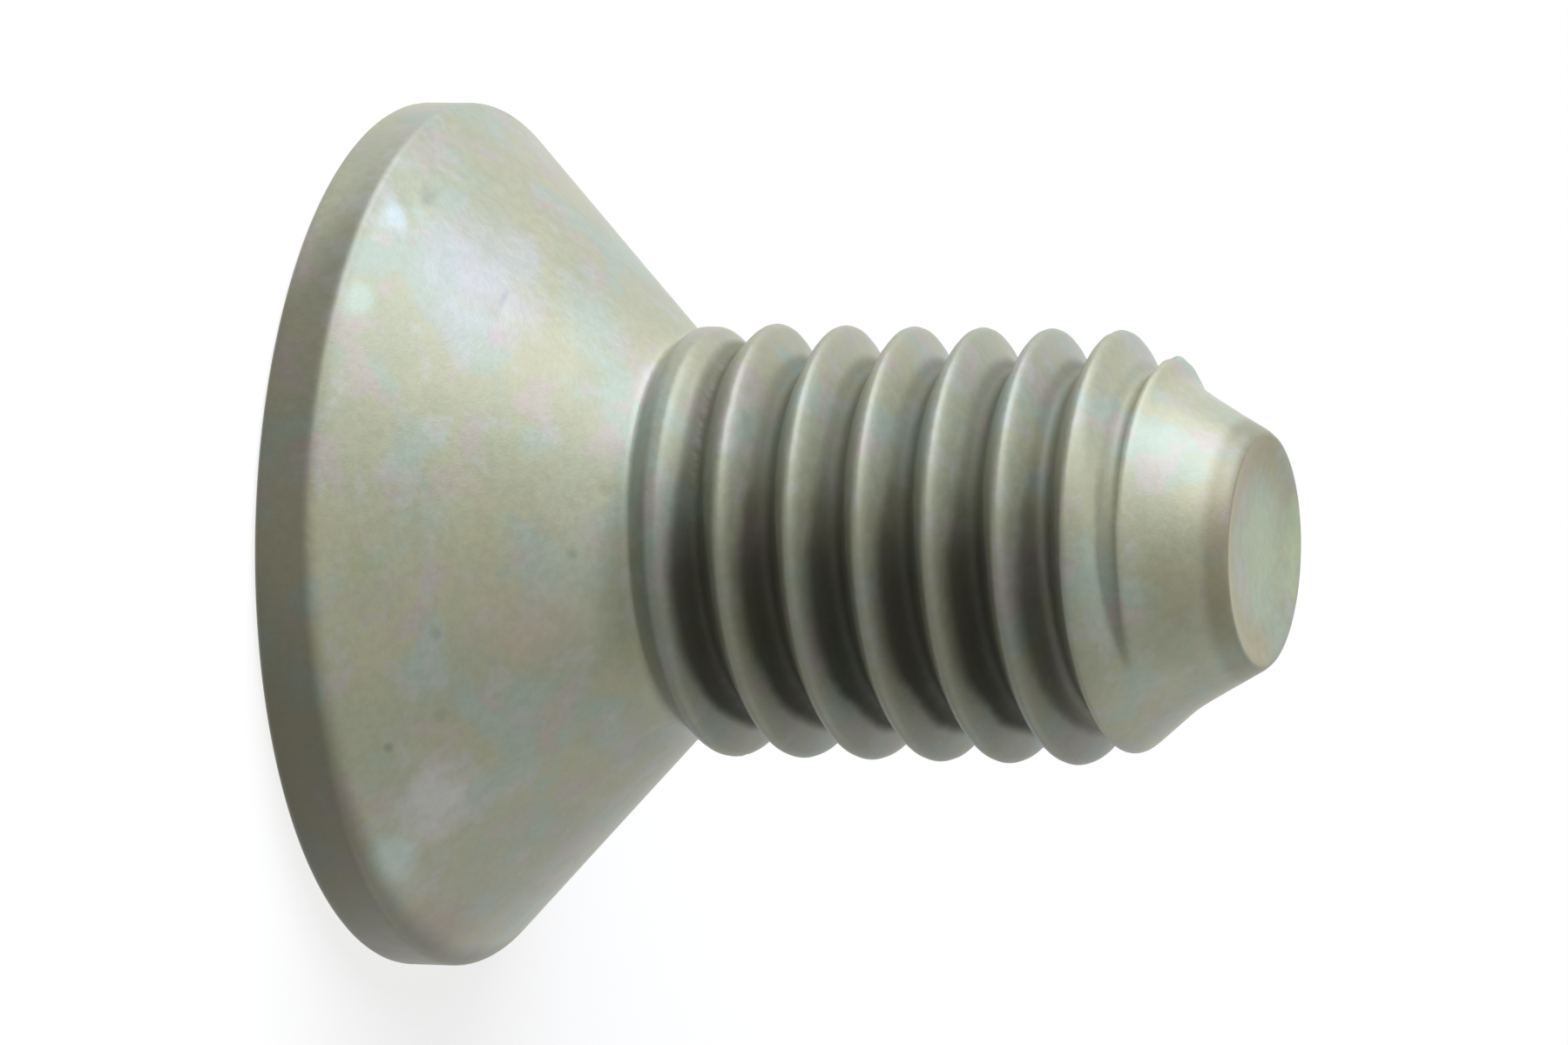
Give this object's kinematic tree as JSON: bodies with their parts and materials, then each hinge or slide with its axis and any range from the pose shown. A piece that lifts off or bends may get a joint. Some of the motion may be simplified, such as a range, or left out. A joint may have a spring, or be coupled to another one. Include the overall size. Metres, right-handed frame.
{
  "type": "countersunk screw",
  "caption": "Short machine screw with a flat countersunk head, a hexagon socket, a coarse right-hand thread up to the head, and a tapered tip with a dished end.",
  "frame": {"origin": "middle of the head's flat face, on which the screw stands", "axes": "+Z along the screw's axis from the head to the tip; +X and +Y square to it, with the camera on the -Y side"},
  "size_m": [0.012, 0.012, 0.0124],
  "materials": {
    "plated_steel": "matt zinc plating, pale grey-green with faint cloudy tints"
  },
  "bodies": {
    "root": {"screw": "plated_steel"}
  },
  "joints": []
}
